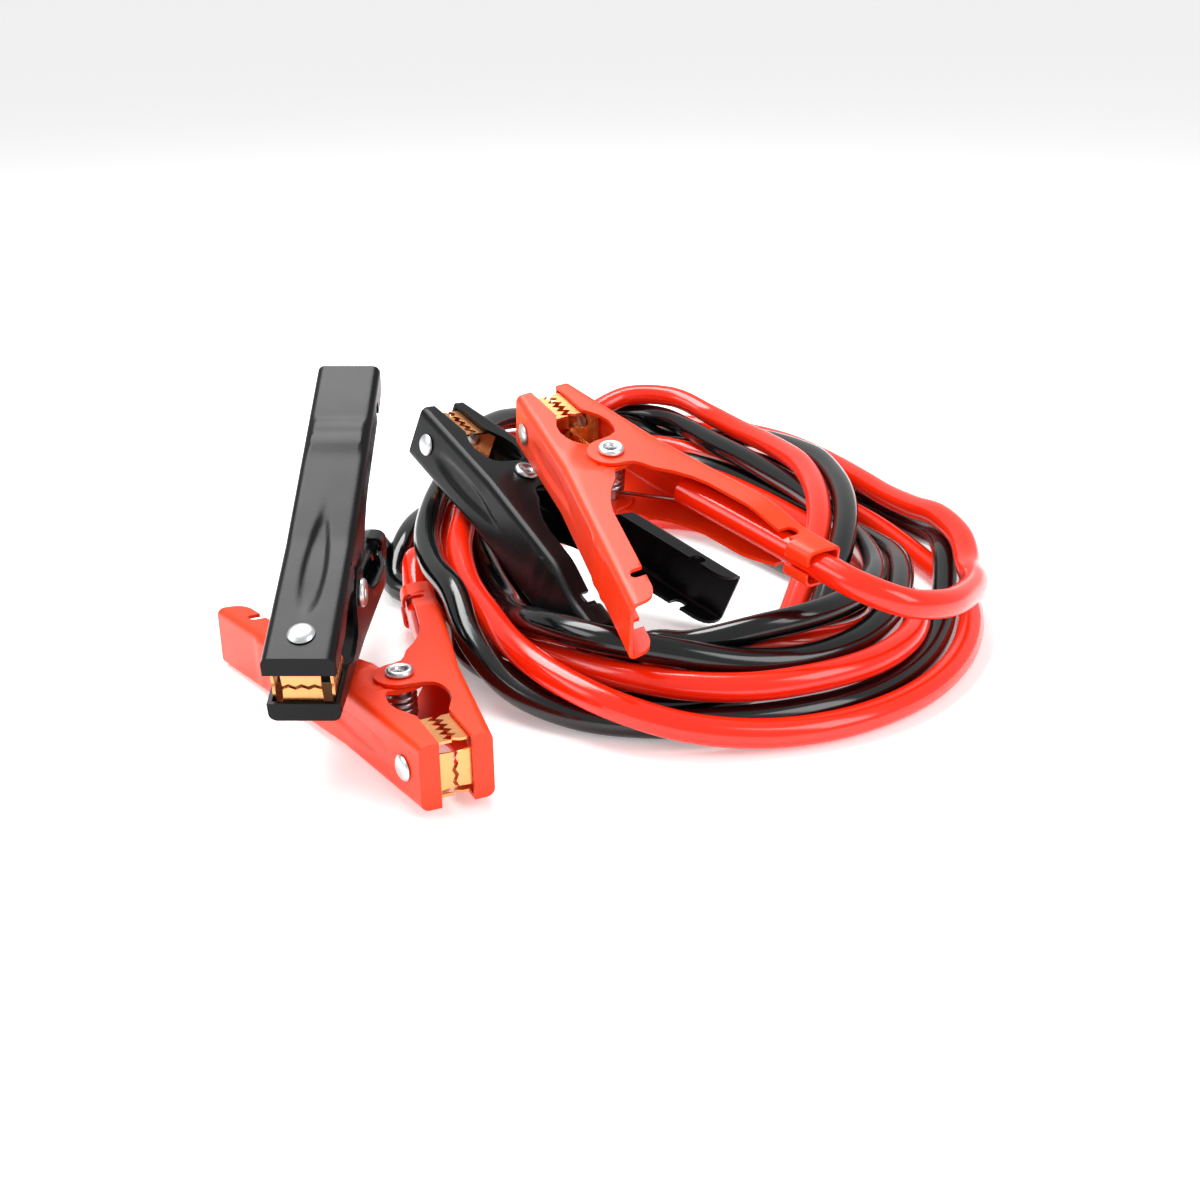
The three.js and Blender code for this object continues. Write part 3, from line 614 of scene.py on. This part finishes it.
# Rivets
# The pivot is a hollow rivet with a rolled ring head at each side; each jaw has a domed one.
HEAD_FROM = HALF_WIDTH + GAP
HEAD_TOP = HEAD_FROM + 0.0022
half_profile = [
    (0.004, HEAD_FROM),
    (0.0055, HEAD_FROM),
    (0.0058, HEAD_FROM + 0.0004),
    (0.00575, HEAD_FROM + 0.0011),
    (0.0053, HEAD_TOP - 0.0003),
    (0.0046, HEAD_TOP),
    (0.0036, HEAD_TOP - 0.0001),
    (0.0028, HEAD_TOP - 0.0006),
    (0.0022, HEAD_TOP - 0.0016),
    (0.002, HEAD_TOP - 0.0026),
]
pivot_rivet = turned(
    "pivot_rivet",
    [(r, -z) for r, z in reversed(half_profile)] + half_profile + [(0.002, -(HEAD_TOP - 0.0026))],
    40,
)
TAIL = -(SHEET + 2 * GAP + JAW_SHEET)
jaw_rivet = turned(
    "jaw_rivet",
    [
        (0, TAIL - 0.0012), (0.0032, TAIL - 0.0012), (0.0038, TAIL - 0.0008), (0.0038, TAIL),
        (0.0024, TAIL), (0.0024, 0.0003), (0.005, 0.0003), (0.0052, 0.0006), (0.0048, 0.0011),
        (0.0038, 0.0017), (0.0024, 0.00205), (0, 0.0022),
    ],
    36,
)
jaw_rivet.data.transform(rivet_axis)

# Springs
# Four coils of wire round the pivot. The long leg lies under the web of the cable arm, the short one
# faces the free arm.
WIRE = 0.002
COIL_RADIUS = 0.0056
COIL_TURNS = 4
COIL_PITCH = 0.0027
COIL_STEPS = 24
FIRST_ANGLE = math.radians(165)
LONG_LEG_BESIDE = 0.00905
SHORT_LEG = 0.009
coil_start = COIL_TURNS * COIL_PITCH / 2
path = []
for x in (-0.034, -0.0204):
    path.append((x, web_height(x) - SHEET - 2 * GAP - WIRE * 0.7, LONG_LEG_BESIDE))
for i in range(COIL_TURNS * COIL_STEPS + 1):
    turn = i / COIL_STEPS
    angle = FIRST_ANGLE - turn * 2 * math.pi
    x, y = COIL_RADIUS * math.cos(angle), COIL_RADIUS * math.sin(angle)
    path.append((x, y, coil_start - turn * COIL_PITCH))
path.append((-COIL_RADIUS - SHORT_LEG, -COIL_RADIUS, -coil_start - WIRE))
spring = poly_curve("spring", path, WIRE, fineness=3)
select_only(spring)
bpy.ops.object.convert(target="MESH")
spring = bpy.context.active_object
bpy.ops.object.shade_smooth()

# The four clamps
# Each one is laid where the CAD has it. The free arm, its jaw and its rivet turn with the handle; the
# rest stays with the leads.
FLIP = Matrix.Diagonal((1, -1, 1, 1))
PIECES = {
    "cable_arm": cable_arm,
    "free_arm": free_arm,
    "cable_jaw": cable_jaw,
    "free_jaw": free_jaw,
    "pivot_rivet": pivot_rivet,
    "spring": spring,
    "cable_jaw_rivet": jaw_rivet,
    "free_jaw_rivet": jaw_rivet,
}
METALS = {
    "cable_jaw": copper_plate,
    "free_jaw": copper_plate,
    "pivot_rivet": zinc_plate,
    "spring": spring_wire,
    "cable_jaw_rivet": zinc_plate,
    "free_jaw_rivet": zinc_plate,
}
CLAMPS = {
    "front_red": {
        "coating": red_coating,
        "pivot": (-0.044349, -0.063986, 0.016104),
        "to_jaws": (0.439, -0.899, 0.024),
        "to_web": (0.899, 0.439, 0),
    },
    "left_black": {
        "coating": black_coating,
        "pivot": (-0.073849, -0.049586, 0.058504),
        "to_jaws": (0, -1, -0.2),
        "to_web": (0, 0.2, -1),
    },
    "rear_black": {
        "coating": black_coating,
        "pivot": (-0.003849, 0.072414, 0.054704),
        "to_jaws": (-0.666, 0.667, 0.334),
        "to_web": (-0.673, -0.73, 0.118),
    },
    "top_red": {
        "coating": red_coating,
        "pivot": (0.039651, 0.031414, 0.078904),
        "to_jaws": (-0.501, 0.841, 0.206),
        "to_web": (0.865, 0.492, 0.095),
    },
}
for clamp, laid in CLAMPS.items():
    x = Vector(laid["to_jaws"]).normalized()
    z = x.cross(Vector(laid["to_web"])).normalized()
    y = z.cross(x)
    frame_of_clamp = Matrix.Translation(laid["pivot"]) @ Matrix((x, y, z)).transposed().to_4x4()
    for part, template in PIECES.items():
        turns = part.startswith("free_")
        mesh = template.data.copy()
        mesh.transform(frame_of_clamp @ FLIP if turns else frame_of_clamp)
        if turns:
            mesh.flip_normals()
        mesh.materials.clear()
        mesh.materials.append(METALS.get(part, laid["coating"]))
        piece = bpy.data.objects.new(f"{clamp}_{part}_look", mesh)
        bpy.context.collection.objects.link(piece)
        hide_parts(f"{clamp}_{part}")
        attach(piece, f"{clamp}_handle" if turns else "root")
for template in set(PIECES.values()):
    bpy.data.objects.remove(template)

# Floor and light
# A plain white floor under soft light from above, with a long softbox on each side for the
# highlights along the jackets.
FLOOR_SIZE = 40
AIM = Vector((0.03, 0.05, 0.03))
bpy.ops.mesh.primitive_plane_add(size=FLOOR_SIZE, location=(0, 0, 0))
floor = bpy.context.active_object
floor.name = "floor"
paper = bpy.data.materials.new("white paper sweep")
paper.use_nodes = True
set_inputs(
    paper.node_tree,
    paper.node_tree.nodes["Principled BSDF"],
    Base_Color=linear("#F6F6F6"),
    Roughness=0.8,
    Emission_Color=linear("#FFFFFF"),
    Emission_Strength=0.3,
)
floor.data.materials.append(paper)
world = bpy.data.worlds.new("studio")
world.use_nodes = True
background = world.node_tree.nodes["Background"]
set_inputs(world.node_tree, background, Color=linear("#FFFFFF"), Strength=0.62)
bpy.context.scene.world = world
for name, place, width, height, power in (
    ("softbox_top", (-0.25, 0.35, 0.95), 0.9, 0.5, 15),
    ("softbox_left", (-1.0, -0.35, 0.7), 0.8, 0.5, 5),
    ("softbox_right", (0.95, -0.55, 0.8), 0.5, 0.8, 6),
):
    light = bpy.data.lights.new(name, "AREA")
    light.shape = "RECTANGLE"
    light.size = width
    light.size_y = height
    light.energy = power
    lamp = bpy.data.objects.new(name, light)
    lamp.location = place
    lamp.rotation_euler = (AIM - Vector(place)).to_track_quat("-Z", "Y").to_euler()
    bpy.context.collection.objects.link(lamp)
